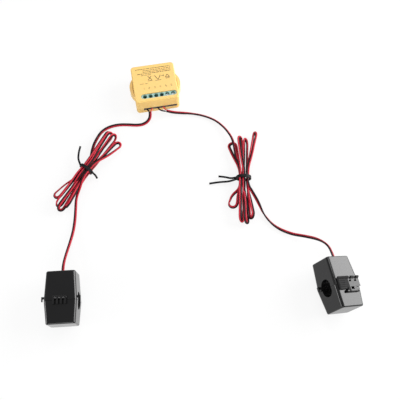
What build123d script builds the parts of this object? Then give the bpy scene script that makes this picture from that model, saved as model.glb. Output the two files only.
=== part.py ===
from build123d import *
import math
import os

os.makedirs("parts", exist_ok=True)

# Smart energy monitor: a terminal module and two split-core current clamps on twin cords.
# Millimetres. The origin is the middle of the module's base, +Z is up, and the wires leave towards -Y.

# Module housing
housing_width = 39.0
housing_depth = 38.0
housing_height = 19.0
housing_wall = 1.5
housing_corner = 3.0
base_height = 6.2
base_floor = 1.2
base_round = 2.0
top_round = 1.0
seam_gap = 0.2
lip_thickness = 0.7
lip_height = 1.2
housing_fit = 0.1
ear_length = 18.0
ear_reach = 3.3
ear_top = 15.0
ear_centre_y = -0.5
cut_overrun = 2.0

# Terminals
terminal_count = 6
terminal_pitch = 5.0
terminal_centre_x = 2.0
terminal_row_setback = 3.6
block_depth = 7.8
block_clearance = 0.3
block_roof_gap = 0.3
block_chamfer = 0.5
land_below_cover = 0.7
land_clearance = 0.2
well_radius = 1.9
sleeve_width = 3.4
sleeve_depth = 4.8
sleeve_wall = 0.55
sleeve_floor_base = 4.7
sleeve_floor = 0.7
sleeve_room = 4.2
sleeve_top_plate = 1.2
sleeve_clearance = 0.2
solder_pin_width = 1.0
solder_pin_length = 2.9
solder_pin_clearance = 0.1
funnel_radius = 1.05
funnel_wall = 1.0
funnel_height = 6.5
screw_head_radius = 1.75
screw_head_height = 1.5
screw_shank_radius = 1.1
screw_shank_length = 5.1
screw_slot_width = 0.5
screw_slot_depth = 0.6
thread_clearance = 0.05
screw_travel = 2.3
open_terminals = 2
leaf_length = 3.6
leaf_width = 2.1
leaf_thickness = 0.5
leaf_gap = 0.02
window_length = 32.0
window_width = 5.0
wire_slot_length = 30.0
wire_slot_low = 5.1
wire_slot_height = 2.9

# Circuit board
board_side_clearance = 0.5
board_end_clearance = 0.3
board_thickness = 1.2
board_base = 2.4
post_radius = 2.0
post_side_inset = 2.8
post_front_gap = 3.4
post_rear_inset = 4.5
peg_radius = 0.9
peg_height = 0.6
peg_clearance = 0.1
seat_gap = 0.1

# Parts on the board
transformer_side_inset = 10.0
transformer_rear_inset = 5.7
core_length = 11.0
core_depth = 5.0
core_height = 9.0
core_centre_leg = 3.0
core_side_leg = 1.6
core_yoke = 1.5
coil_wall = 2.0
coil_clearance = 0.2
bulk_capacitor_radius = 4.0
bulk_capacitor_height = 11.5
bulk_capacitor_x = 3.2
bulk_capacitor_rear_inset = 5.5
film_capacitor_length = 10.0
film_capacitor_depth = 5.0
film_capacitor_height = 8.0
film_capacitor_side_inset = 8.5
film_capacitor_rear_inset = 14.1
varistor_radius = 3.4
varistor_thickness = 2.6
varistor_lift = 0.6
varistor_front_gap = 7.8
radio_length = 15.0
radio_width = 11.5
radio_thickness = 0.8
radio_side_inset = 9.2
radio_front_gap = 10.6
shield_length = 10.0
shield_width = 10.0
shield_height = 2.2
shield_shift_x = 2.0
chip_length = 5.0
chip_width = 4.4
chip_height = 1.5
chip_x = 3.2
chip_front_gap = 4.8

# Pairing button and status lamp on the rear wall
switch_x = 11.4
switch_width = 5.6
switch_depth = 3.8
switch_height = 7.0
switch_rear_inset = 2.1
plunger_radius = 1.2
plunger_length = 2.9
plunger_clearance = 0.05
button_z = 9.8
button_radius = 1.8
button_flange_radius = 2.6
button_flange = 0.6
button_rest_gap = 0.3
button_proud = 0.6
button_clearance = 0.12
button_travel = 0.5
button_round = 0.3
lamp_x = 5.6
lamp_z = 13.4
lamp_radius = 1.45
lamp_body = 2.4
lamp_proud = 0.5
lamp_clearance = 0.1
lamp_leg = 0.5

# Split-core clamps
clamp_width = 22.6
clamp_thickness = 25.4
body_half_length = 23.0
lid_half_length = 18.0
end_inset = 1.4
long_edge_round = 2.4
end_edge_round = 1.2
clamp_wall = 1.2
split_gap = 0.2
hole_radius = 5.0
body_notch_depth = 7.2
lid_notch_depth = 6.6
hole_wall = 1.0
ferrite_clearance = 0.3
ferrite_side_room = 2.4
ferrite_leg = 2.6
ferrite_thickness = 14.0
ferrite_gap = 0.1
body_yoke_front = 11.9
pad_clearance = 0.1
pad_inset = 0.9
bobbin_clearance = 0.25
bobbin_wall = 0.7
bobbin_flange_rise = 2.0
winding_clearance = 0.05
winding_rise = 1.8
cord_entry_u = 4.2
cord_entry_w = -1.1
cord_entry_clearance = 0.1
cord_inside_gap = 0.3

# Clamp hinge
knuckle_radius = 1.4
hinge_pin_radius = 0.6
hinge_clearance = 0.05
hinge_stand_off = 0.2
hinge_ahead = 2.0
knuckle_count = 7
knuckle_pitch = 1.5
knuckle_gap = 0.15
hinge_arm_drop = 5.4

# Clamp latch
latch_stand_off = 0.35
latch_plate = 1.0
latch_half_width = 10.8
latch_top = 4.4
latch_plate_low = -3.2
latch_block_low = -4.8
latch_block_rise = 0.7
latch_block_inner = 4.0
latch_block_outer = 10.8
latch_rib_count = 4
latch_rib_width = 0.7
latch_rib_depth = 0.35
latch_lip_reach = 1.5
latch_lip_rise = 0.9
latch_foot_centre = -2.0
latch_foot_half = 4.6
latch_foot_window = 1.5
latch_pivot_v = -6.4
latch_barrel_radius = 1.0
latch_barrel_gap = 0.25
latch_pin_radius = 0.55
latch_ear_inner = 4.8
latch_ear_outer = 6.0
latch_ear_radius = 1.1
notch_width = 2.2
notch_low = 0.8
notch_centres = [-1.4, -6.9]
tooth_width = 1.6
tooth_low = 1.4
tooth_high = 3.8
tooth_rise = 0.9
wall_sink = 0.6

# Small hooks that stand out of both hole faces beside the hinge
hook_u = -6.8
hook_width = 1.6
hook_reach = 2.3
hook_thickness = 0.8
hook_low = -0.3
hook_high = 3.4
hook_stem_low = 1.7

# Where the clamps lie
left_clamp_x = -98.3
left_clamp_y = -184.2
left_clamp_heading = -6.2
right_clamp_x = 114.6
right_clamp_y = -209.8
right_clamp_heading = 2.8
right_clamp_roll = -60.0

# Twin cord and its hanks
cord_width = 2.5
wire_diameter = 1.25
bare_wire_diameter = 1.0
bare_wire_past_row = 1.0
wire_height = 6.1
tail_end_inside = 0.6
tail_join_gap = 0.5
tail_spread = 0.75
cord_straight = 3.0
arc_share = 0.45
hank_half_length = 40.0
hank_half_width = 10.0
hank_thickness = 7.6
left_hank_shares = [
    (-1.05, 0.2, 0.34, 0.34, 0.22),
    (-0.93, 0.0, 0.86, 0.55, 0.31),
    (-0.76, -0.12, 0.94, 0.74, 0.42),
    (-0.46, -0.08, 0.74, 0.92, 0.58),
    (-0.12, 0.0, 0.52, 1.0, 0.74),
    (0.12, 0.0, 0.52, 1.0, 0.74),
    (0.44, 0.0, 0.82, 0.92, 0.58),
    (0.74, 0.0, 1.0, 0.74, 0.42),
    (0.92, 0.0, 0.86, 0.55, 0.31),
    (1.0, 0.0, 0.34, 0.34, 0.22),
]
right_hank_shares = [
    (-1.05, 0.0, 0.38, 0.34, 0.22),
    (-0.93, -0.05, 0.72, 0.55, 0.31),
    (-0.68, -0.15, 0.96, 0.78, 0.44),
    (-0.44, -0.26, 0.82, 0.92, 0.58),
    (-0.12, 0.0, 0.52, 1.0, 0.74),
    (0.12, 0.0, 0.52, 1.0, 0.74),
    (0.44, -0.15, 0.8, 0.92, 0.58),
    (0.7, -0.1, 1.04, 0.78, 0.44),
    (0.94, 0.2, 0.86, 0.55, 0.31),
    (1.05, 0.45, 0.4, 0.34, 0.22),
]
left_hank_x = -70.0
left_hank_y = -69.0
left_hank_heading = 46.0
right_hank_x = 62.0
right_hank_y = -100.0
right_hank_heading = 80.0
tie_clearance = 0.3
tie_thickness = 1.0
tie_half_width = 1.3
tie_wire_diameter = 1.7

# Routes of the cords and the tie tails: points chosen by hand, laid on the floor of the module
left_module_route = [
    (-8.0, -21.9, 6.1),
    (-8.2, -25.2, 4.9),
    (-9.8, -28.3, 3.7),
    (-12.6, -30.4, 2.6),
    (-16.6, -31.5, 1.8),
    (-22.0, -31.0, 1.3),
    (-29.0, -29.2, 1.3),
    (-38.0, -27.7, 1.3),
    (-46.5, -29.0, 1.9),
    (-53.2, -33.2, 3.2),
    (-57.6, -39.5, 4.4),
]
left_clamp_route = [
    (-81.4, -93.4, 3.4),
    (-82.8, -101.5, 2.2),
    (-84.2, -110.5, 1.3),
    (-86.5, -121.5, 1.6),
    (-89.7, -132.0, 4.0),
    (-93.0, -142.0, 7.0),
    (-95.4, -150.5, 9.9),
]
right_module_route = [
    (6.6, -22.9, 5.2),
    (11.2, -24.0, 3.2),
    (18.4, -25.0, 1.6),
    (28.0, -27.0, 1.3),
    (38.6, -31.0, 1.3),
    (48.6, -37.6, 1.5),
    (55.2, -47.2, 2.6),
    (58.7, -56.2, 4.0),
    (60.0, -63.2, 4.8),
]
right_clamp_route = [
    (66.3, -112.8, 5.2),
    (70.0, -123.0, 3.2),
    (72.6, -135.0, 1.4),
    (79.4, -147.0, 1.3),
    (91.0, -155.6, 2.0),
    (101.4, -160.6, 5.6),
    (110.2, -166.6, 10.8),
    (115.4, -174.2, 15.8),
]
left_tail_bends = [
    [(-10.5, -18.4, 6.1), (-9.95, -20.0, 6.1)],
    [(-5.5, -18.4, 6.1), (-6.05, -20.0, 6.1)],
]
right_tail_bends = [
    [(-0.5, -18.6, 6.1), (0.2, -20.5, 6.1), (1.6, -22.0, 6.0), (3.4, -22.8, 5.8)],
    [(4.5, -18.8, 6.1), (5.1, -20.5, 5.8)],
]
left_tie_tails = [
    [(-74.5, -64.7, 7.2), (-76.0, -58.4, 6.0), (-75.2, -51.6, 4.6), (-73.2, -45.6, 4.4)],
    [(-65.5, -73.3, 6.4), (-63.2, -75.2, 4.4), (-62.0, -78.0, 2.6)],
]
right_tie_tails = [
    [(56.2, -98.7, 5.8), (51.4, -98.3, 4.4), (46.6, -95.4, 2.8), (41.4, -93.6, 2.2)],
    [(56.4, -99.7, 4.6), (49.4, -100.3, 3.0), (41.0, -98.7, 1.5), (32.4, -98.5, 1.1)],
]

# Worked out from the sizes above
board_top = board_base + board_thickness
inner_width = housing_width - 2 * housing_wall
inner_depth = housing_depth - 2 * housing_wall
inner_corner = housing_corner - housing_wall
board_width = inner_width - 2 * board_side_clearance
board_depth = inner_depth - 2 * board_end_clearance
roof = housing_height - housing_wall
block_top = roof - block_roof_gap
land_top = housing_height - land_below_cover
rear_wall_inside = housing_depth / 2 - housing_wall
block_front = -housing_depth / 2 + housing_wall + block_clearance
block_rear = block_front + block_depth
terminal_row_y = block_front + terminal_row_setback
tail_end_y = block_front + tail_end_inside
bare_wire_end_y = terminal_row_y + bare_wire_past_row
post_x = inner_width / 2 - post_side_inset
post_front_y = block_rear + post_front_gap
post_rear_y = rear_wall_inside - post_rear_inset
transformer_x = -inner_width / 2 + transformer_side_inset
transformer_y = rear_wall_inside - transformer_rear_inset
bulk_capacitor_y = rear_wall_inside - bulk_capacitor_rear_inset
film_capacitor_x = inner_width / 2 - film_capacitor_side_inset
film_capacitor_y = rear_wall_inside - film_capacitor_rear_inset
varistor_x = film_capacitor_x
varistor_y = block_rear + varistor_front_gap
radio_x = -inner_width / 2 + radio_side_inset
radio_y = block_rear + radio_front_gap
chip_y = block_rear + chip_front_gap
switch_rear_y = rear_wall_inside - switch_rear_inset
block_length = terminal_count * terminal_pitch
block_middle_y = block_front + block_depth / 2
sleeve_floor_top = sleeve_floor_base + sleeve_floor
sleeve_roof = sleeve_floor_top + sleeve_room
sleeve_top = sleeve_roof + sleeve_top_plate
cavity_width = sleeve_width + 2 * sleeve_clearance
cavity_depth = sleeve_depth + 2 * sleeve_clearance
cavity_low = sleeve_floor_base - seat_gap
cavity_high = sleeve_top + sleeve_clearance
leaf_low = wire_height + bare_wire_diameter / 2 + seat_gap / 2
screw_tip = leaf_low + leaf_thickness + leaf_gap


def terminal_x(number):
    return terminal_centre_x + (number - (terminal_count - 1) / 2) * terminal_pitch


def screw_lift(number):
    return screw_travel if number >= terminal_count - open_terminals else 0


def corner_radii(points):
    corners = [Vector(*point) for point in points]
    radii = []
    for before, corner, after in zip(corners, corners[1:], corners[2:]):
        arriving = corner - before
        leaving = after - corner
        half_turn = math.radians(arriving.get_angle(leaving)) / 2
        shorter = min(arriving.length, leaving.length)
        radii.append(arc_share * shorter / math.tan(half_turn))
    return radii


def tube(name, points, diameter):
    with BuildPart() as piece:
        with BuildLine() as path:
            FilletPolyline(*points, radius=corner_radii(points))
        start = path.line @ 0
        direction = path.line % 0
        with BuildSketch(Plane(origin=start, z_dir=direction)):
            Circle(diameter / 2)
        sweep(path=path.line)
    section = math.pi * diameter ** 2 / 4
    radii = [round(radius, 1) for radius in corner_radii(points)]
    length = path.wire().length
    filled = piece.part.volume / (section * length)
    print(name, "radii", radii, "length", round(length, 1), "volume share", round(filled, 4))
    return piece


def save(name, part):
    part.label = name
    export_step(part, f"parts/{name}.step")


def local_point(seat, u, v, w):
    return seat.from_local_coords(Vector(u, v, w))


def across(seat, station):
    # plane across the clamp's length: x along the latch direction, normal towards the cable end
    return Plane(origin=local_point(seat, 0, station, 0), x_dir=seat.x_dir, z_dir=seat.y_dir)


# Lower tray of the module
with BuildPart() as module_base:
    with BuildSketch(Plane.XY):
        RectangleRounded(housing_width, housing_depth, housing_corner)
    extrude(amount=base_height)
    fillet(module_base.faces().sort_by(Axis.Z)[0].edges(), base_round)
    with BuildSketch(Plane.XY.offset(base_floor)):
        RectangleRounded(inner_width, inner_depth, inner_corner)
    extrude(amount=base_height, mode=Mode.SUBTRACT)
    with BuildSketch(Plane.XY.offset(base_height - lip_height)):
        lip_width = inner_width + 2 * lip_thickness
        lip_depth = inner_depth + 2 * lip_thickness
        RectangleRounded(lip_width, lip_depth, inner_corner + lip_thickness)
        RectangleRounded(inner_width, inner_depth, inner_corner, mode=Mode.SUBTRACT)
    extrude(amount=2 * lip_height)
    post_places = [
        (-post_x, post_front_y),
        (post_x, post_front_y),
        (-post_x, post_rear_y),
        (post_x, post_rear_y),
    ]
    with BuildSketch(Plane.XY.offset(base_floor - seat_gap)):
        with Locations(*post_places):
            Circle(post_radius)
    extrude(amount=board_base - base_floor + seat_gap)
    with BuildSketch(Plane.XY.offset(board_base - seat_gap)):
        with Locations(*post_places):
            Circle(peg_radius)
    extrude(amount=board_thickness + peg_height + seat_gap)
    with BuildSketch(Plane.XZ.offset(housing_depth / 2 + cut_overrun)):
        with Locations((terminal_centre_x, wire_slot_low + wire_slot_height / 2)):
            Rectangle(wire_slot_length, wire_slot_height)
    extrude(amount=-housing_wall - 2 * cut_overrun + housing_fit, mode=Mode.SUBTRACT)
save("module_base", module_base.part)

# Upper shell of the module, with the terminal window and the side ears
cover_base = base_height + seam_gap
with BuildPart() as module_cover:
    with BuildSketch(Plane.XY.offset(cover_base)):
        RectangleRounded(housing_width, housing_depth, housing_corner)
    extrude(amount=housing_height - cover_base)
    fillet(module_cover.faces().sort_by(Axis.Z)[-1].edges(), top_round)
    with BuildSketch(Plane.XY.offset(cover_base)):
        for side in (-1, 1):
            wall_x = side * (housing_width / 2 - housing_wall / 2)
            rim_x = side * housing_width / 2
            front_y = ear_centre_y - ear_length / 2
            rear_y = ear_centre_y + ear_length / 2
            with BuildLine():
                ThreePointArc((rim_x, front_y), (rim_x + side * ear_reach, ear_centre_y), (rim_x, rear_y))
                Polyline((rim_x, rear_y), (wall_x, rear_y), (wall_x, front_y), (rim_x, front_y))
            make_face()
    extrude(amount=ear_top - cover_base)
    with BuildSketch(Plane.XY.offset(cover_base)):
        RectangleRounded(inner_width, inner_depth, inner_corner)
    extrude(amount=roof - cover_base, mode=Mode.SUBTRACT)
    with BuildSketch(Plane.XY.offset(cover_base)):
        rebate = lip_thickness + housing_fit
        RectangleRounded(inner_width + 2 * rebate, inner_depth + 2 * rebate, inner_corner + rebate)
    extrude(amount=lip_height + housing_fit, mode=Mode.SUBTRACT)
    with BuildSketch(Plane.XY.offset(block_top)):
        with Locations((terminal_centre_x, terminal_row_y)):
            SlotOverall(window_length, window_width)
    extrude(amount=housing_height, mode=Mode.SUBTRACT)
    with BuildSketch(Plane.XZ.offset(housing_depth / 2 + cut_overrun)):
        with Locations((terminal_centre_x, wire_slot_low + wire_slot_height / 2)):
            Rectangle(wire_slot_length, wire_slot_height)
    extrude(amount=-housing_wall - 2 * cut_overrun + housing_fit, mode=Mode.SUBTRACT)
    with BuildSketch(Plane.XZ.offset(-housing_depth / 2 - cut_overrun)):
        with Locations((switch_x, button_z)):
            Circle(button_radius + button_clearance)
        with Locations((lamp_x, lamp_z)):
            Circle(lamp_radius + lamp_clearance)
    extrude(amount=housing_wall + 2 * cut_overrun, mode=Mode.SUBTRACT)
save("module_cover", module_cover.part)

# Circuit board on the four posts
with BuildPart() as circuit_board:
    with BuildSketch(Plane.XY.offset(board_base)):
        RectangleRounded(board_width, board_depth, inner_corner)
        with Locations(*post_places):
            Circle(peg_radius + peg_clearance, mode=Mode.SUBTRACT)
        for number in range(terminal_count):
            with Locations((terminal_x(number), terminal_row_y)):
                pin_hole = solder_pin_width + 2 * solder_pin_clearance
                Rectangle(pin_hole, pin_hole, mode=Mode.SUBTRACT)
    extrude(amount=board_thickness)
save("circuit_board", circuit_board.part)

# Terminal block: wells from above, sleeve cavities, wire funnels from the front
with BuildPart() as terminal_block:
    with BuildSketch(Plane.XY.offset(board_top)):
        with Locations((terminal_centre_x, block_middle_y)):
            Rectangle(block_length, block_depth)
    extrude(amount=block_top - board_top)
    chamfer(terminal_block.faces().sort_by(Axis.Z)[-1].edges().filter_by(Axis.X), block_chamfer)
    with BuildSketch(Plane.XY.offset(block_top - block_chamfer)):
        with Locations((terminal_centre_x, terminal_row_y)):
            SlotOverall(window_length - 2 * land_clearance, window_width - 2 * land_clearance)
    extrude(amount=land_top - block_top + block_chamfer)
    for number in range(terminal_count):
        with BuildSketch(Plane.XY.offset(cavity_low)):
            with Locations((terminal_x(number), terminal_row_y)):
                Rectangle(cavity_width, cavity_depth)
        extrude(amount=cavity_high - cavity_low, mode=Mode.SUBTRACT)
        with BuildSketch(Plane.XY.offset(cavity_high - seat_gap)):
            with Locations((terminal_x(number), terminal_row_y)):
                Circle(well_radius)
        extrude(amount=land_top, mode=Mode.SUBTRACT)
        with BuildSketch(Plane.XY.offset(board_top - cut_overrun)):
            with Locations((terminal_x(number), terminal_row_y)):
                Rectangle(pin_hole, pin_hole)
        extrude(amount=cavity_low - board_top + 2 * cut_overrun, mode=Mode.SUBTRACT)
        with BuildSketch(Plane.XZ.offset(-block_front + cut_overrun)):
            with Locations((terminal_x(number), funnel_height)):
                Circle(funnel_radius)
        extrude(amount=-funnel_wall - 2 * cut_overrun, mode=Mode.SUBTRACT)
save("terminal_block", terminal_block.part)

# Six metal sleeves, each with a threaded roof and a solder pin
with BuildPart() as terminal_contacts:
    for number in range(terminal_count):
        centre = (terminal_x(number), terminal_row_y)
        with BuildSketch(Plane.XY.offset(sleeve_floor_base)):
            with Locations(centre):
                Rectangle(sleeve_width, sleeve_depth)
        extrude(amount=sleeve_top - sleeve_floor_base)
        with BuildSketch(Plane.XZ.offset(-terminal_row_y + sleeve_depth / 2 + cut_overrun)):
            with Locations((terminal_x(number), sleeve_floor_top + sleeve_room / 2)):
                Rectangle(sleeve_width - 2 * sleeve_wall, sleeve_room)
        extrude(amount=-sleeve_depth - 2 * cut_overrun, mode=Mode.SUBTRACT)
        with BuildSketch(Plane.XY.offset(sleeve_roof - seat_gap)):
            with Locations(centre):
                Circle(screw_shank_radius + thread_clearance)
        extrude(amount=sleeve_top_plate + cut_overrun, mode=Mode.SUBTRACT)
        with BuildSketch(Plane.XY.offset(sleeve_floor_base + seat_gap)):
            with Locations(centre):
                Rectangle(solder_pin_width, solder_pin_width)
        extrude(amount=-solder_pin_length - seat_gap)
save("terminal_contacts", terminal_contacts.part)

# Screws and the leaves they press on the wires
for number in range(terminal_count):
    tip = screw_tip + screw_lift(number)
    centre = (terminal_x(number), terminal_row_y)
    with BuildPart() as terminal_screw:
        with BuildSketch(Plane.XY.offset(tip)):
            with Locations(centre):
                Circle(screw_shank_radius)
        extrude(amount=screw_shank_length)
        with BuildSketch(Plane.XY.offset(tip + screw_shank_length)):
            with Locations(centre):
                Circle(screw_head_radius)
        extrude(amount=screw_head_height)
        chamfer(terminal_screw.edges().group_by(Axis.Z)[-1], seat_gap)
        with BuildSketch(Plane.XY.offset(tip + screw_shank_length + screw_head_height)):
            with Locations(centre):
                Rectangle(2 * screw_head_radius + cut_overrun, screw_slot_width)
        extrude(amount=-screw_slot_depth, mode=Mode.SUBTRACT)
    save(f"terminal_screw_{number + 1}", terminal_screw.part)
    with BuildPart() as terminal_leaf:
        with BuildSketch(Plane.XY.offset(tip - leaf_gap)):
            with Locations(centre):
                RectangleRounded(leaf_width, leaf_length, leaf_thickness / 2)
        extrude(amount=-leaf_thickness)
    save(f"terminal_leaf_{number + 1}", terminal_leaf.part)

# Small transformer: a ferrite frame with three legs and a coil on the middle one
with BuildPart() as transformer_core:
    with BuildSketch(Plane.XZ.offset(-transformer_y - core_depth / 2)):
        core_middle_z = board_top + seat_gap + core_height / 2
        window_span = core_length / 2 - core_side_leg - core_centre_leg / 2
        with Locations((transformer_x, core_middle_z)):
            Rectangle(core_length, core_height)
        for side in (-1, 1):
            with Locations((transformer_x + side * (core_centre_leg + window_span) / 2, core_middle_z)):
                Rectangle(window_span, core_height - 2 * core_yoke, mode=Mode.SUBTRACT)
    extrude(amount=core_depth)
save("transformer_core", transformer_core.part)

with BuildPart() as transformer_winding:
    with BuildSketch(Plane.XY.offset(core_middle_z)):
        coil_bore_x = core_centre_leg + 2 * coil_clearance
        coil_bore_y = core_depth + 2 * coil_clearance
        with Locations((transformer_x, transformer_y)):
            RectangleRounded(coil_bore_x + 2 * coil_wall, coil_bore_y + 2 * coil_wall, coil_wall)
            Rectangle(coil_bore_x, coil_bore_y, mode=Mode.SUBTRACT)
    extrude(amount=core_height / 2 - core_yoke - coil_clearance, both=True)
save("transformer_winding", transformer_winding.part)

with BuildPart() as bulk_capacitor:
    with BuildSketch(Plane.XY.offset(board_top)):
        with Locations((bulk_capacitor_x, bulk_capacitor_y)):
            Circle(bulk_capacitor_radius)
    extrude(amount=bulk_capacitor_height)
    fillet(bulk_capacitor.edges().group_by(Axis.Z)[-1], housing_wall / 3)
save("bulk_capacitor", bulk_capacitor.part)

with BuildPart() as film_capacitor:
    with BuildSketch(Plane.XY.offset(board_top)):
        with Locations((film_capacitor_x, film_capacitor_y)):
            Rectangle(film_capacitor_length, film_capacitor_depth)
    extrude(amount=film_capacitor_height)
    fillet(film_capacitor.edges().filter_by(Axis.Z), housing_wall / 3)
save("film_capacitor", film_capacitor.part)

with BuildPart() as varistor:
    disc_z = board_top + varistor_lift + varistor_radius
    with BuildSketch(Plane.XZ.offset(-varistor_y - varistor_thickness / 2)):
        with Locations((varistor_x, disc_z)):
            Circle(varistor_radius)
    extrude(amount=varistor_thickness)
    with BuildSketch(Plane.XY.offset(board_top)):
        leg_x = varistor_radius / 2
        with Locations((varistor_x - leg_x, varistor_y), (varistor_x + leg_x, varistor_y)):
            Rectangle(varistor_lift, varistor_lift)
    extrude(amount=varistor_radius)
save("varistor", varistor.part)

with BuildPart() as radio_board:
    with BuildSketch(Plane.XY.offset(board_top)):
        with Locations((radio_x, radio_y)):
            Rectangle(radio_length, radio_width)
    extrude(amount=radio_thickness)
save("radio_board", radio_board.part)

with BuildPart() as radio_shield:
    with BuildSketch(Plane.XY.offset(board_top + radio_thickness)):
        with Locations((radio_x + shield_shift_x, radio_y)):
            RectangleRounded(shield_length, shield_width, radio_thickness)
    extrude(amount=shield_height)
    fillet(radio_shield.edges().group_by(Axis.Z)[-1], radio_thickness / 4)
save("radio_shield", radio_shield.part)

with BuildPart() as metering_chip:
    with BuildSketch(Plane.XY.offset(board_top)):
        with Locations((chip_x, chip_y)):
            Rectangle(chip_length, chip_width)
    extrude(amount=chip_height)
    chamfer(metering_chip.edges().group_by(Axis.Z)[-1], seat_gap)
save("metering_chip", metering_chip.part)

# Pairing switch, its plunger and the button in the rear wall
flange_rear = rear_wall_inside - button_rest_gap
with BuildPart() as tact_switch:
    with BuildSketch(Plane.XY.offset(board_top)):
        with Locations((switch_x, switch_rear_y - switch_depth / 2)):
            Rectangle(switch_width, switch_depth)
    extrude(amount=switch_height + button_radius)
    with BuildSketch(Plane.XZ.offset(-switch_rear_y - cut_overrun)):
        with Locations((switch_x, button_z)):
            Circle(plunger_radius + plunger_clearance)
    extrude(amount=cut_overrun + plunger_length + button_travel, mode=Mode.SUBTRACT)
save("tact_switch", tact_switch.part)

plunger_tip = flange_rear - button_flange
with BuildPart() as switch_plunger:
    with BuildSketch(Plane.XZ.offset(-plunger_tip)):
        with Locations((switch_x, button_z)):
            Circle(plunger_radius)
    extrude(amount=plunger_length)
save("switch_plunger", switch_plunger.part)

with BuildPart() as pairing_button:
    with BuildSketch(Plane.XZ.offset(-flange_rear)):
        with Locations((switch_x, button_z)):
            Circle(button_flange_radius)
    extrude(amount=button_flange)
    with BuildSketch(Plane.XZ.offset(-flange_rear)):
        with Locations((switch_x, button_z)):
            Circle(button_radius)
    extrude(amount=-button_rest_gap - housing_wall - button_proud)
    fillet(pairing_button.edges().group_by(Axis.Y)[-1], button_round)
save("pairing_button", pairing_button.part)

with BuildPart() as status_lamp:
    with BuildSketch(Plane.XZ.offset(-housing_depth / 2 - lamp_proud)):
        with Locations((lamp_x, lamp_z)):
            Circle(lamp_radius)
    extrude(amount=lamp_body + lamp_proud)
    fillet(status_lamp.edges().group_by(Axis.Y)[-1], lamp_radius / 2)
    leg_y = housing_depth / 2 - lamp_body + lamp_leg
    with BuildSketch(Plane.XY.offset(board_top)):
        with Locations((lamp_x - lamp_radius / 2, leg_y), (lamp_x + lamp_radius / 2, leg_y)):
            Rectangle(lamp_leg, lamp_leg)
    extrude(amount=lamp_z - board_top)
save("status_lamp", status_lamp.part)


# Split-core clamp. Its own frame: x is the latch direction (u), y runs to the cable end (v) and
# z is along the cable hole (w). The halves part at v = 0.
hinge_u = -(clamp_width / 2 + hinge_stand_off + knuckle_radius)
latch_inner_u = clamp_width / 2 + latch_stand_off
latch_outer_u = latch_inner_u + latch_plate
lid_wall_at_pivot = clamp_width / 2 + end_inset * latch_pivot_v / lid_half_length
latch_pivot_u = lid_wall_at_pivot + latch_barrel_gap + latch_barrel_radius
ferrite_half_width = clamp_width / 2 - ferrite_side_room
ferrite_leg_inner = ferrite_half_width - ferrite_leg
pad_width = 2 * (ferrite_half_width - pad_inset)
lid_yoke_front = lid_notch_depth + hole_wall + ferrite_clearance
hinge_half_length = knuckle_count * knuckle_pitch / 2


def knuckle_station(number):
    return (number - (knuckle_count - 1) / 2) * knuckle_pitch


def half_shell(seat, toward, length, notch_depth):
    # drafted shell with a cavity, the hole's wall and the open notch
    rim = toward * split_gap / 2
    end = toward * length
    with BuildPart() as shell:
        with BuildSketch(across(seat, rim)):
            RectangleRounded(clamp_width, clamp_thickness, long_edge_round)
        with BuildSketch(across(seat, end)):
            narrow = clamp_width - 2 * end_inset
            thin = clamp_thickness - 2 * end_inset
            RectangleRounded(narrow, thin, long_edge_round)
        loft()
        end_point = local_point(seat, 0, end, 0)
        end_face = shell.faces().sort_by_distance(end_point)[0]
        fillet(end_face.edges(), end_edge_round)
        cavity_end = toward * (length - clamp_wall)
        cavity_round = long_edge_round - clamp_wall
        inset_at_cavity = end_inset * (length - clamp_wall) / length
        with BuildSketch(across(seat, -toward * split_gap)):
            RectangleRounded(clamp_width - 2 * clamp_wall, clamp_thickness - 2 * clamp_wall, cavity_round)
        with BuildSketch(across(seat, cavity_end)):
            narrow = clamp_width - 2 * clamp_wall - 2 * inset_at_cavity
            thin = clamp_thickness - 2 * clamp_wall - 2 * inset_at_cavity
            RectangleRounded(narrow, thin, cavity_round)
        loft(mode=Mode.SUBTRACT)
        arc_station = toward * (notch_depth - hole_radius)
        liner_radius = hole_radius + hole_wall
        with BuildSketch(seat):
            with Locations((0, (rim + arc_station) / 2)):
                Rectangle(2 * liner_radius, abs(arc_station - rim))
            with Locations((0, arc_station)):
                Circle(liner_radius)
            with Locations((0, rim - toward * liner_radius)):
                Rectangle(2 * liner_radius, 2 * liner_radius, mode=Mode.SUBTRACT)
        extrude(amount=clamp_thickness / 2 - clamp_wall / 2, both=True)
        with BuildSketch(seat):
            with Locations((0, arc_station / 2 - toward * split_gap)):
                Rectangle(2 * hole_radius, abs(arc_station) + 2 * split_gap)
            with Locations((0, arc_station)):
                Circle(hole_radius)
        extrude(amount=clamp_thickness, both=True, mode=Mode.SUBTRACT)
    return shell.part


def u_core(seat, toward, yoke_front):
    # U-shaped ferrite half: two legs from the split and a yoke
    face = toward * ferrite_gap / 2
    back = toward * (yoke_front + ferrite_leg)
    inside = toward * yoke_front
    with BuildPart() as core:
        with BuildSketch(seat):
            with Locations((0, (face + back) / 2)):
                Rectangle(2 * ferrite_half_width, abs(back - face))
            with Locations((0, (inside - toward * cut_overrun) / 2)):
                Rectangle(2 * ferrite_leg_inner, abs(inside) + cut_overrun, mode=Mode.SUBTRACT)
        extrude(amount=ferrite_thickness / 2, both=True)
    return core.part


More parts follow.
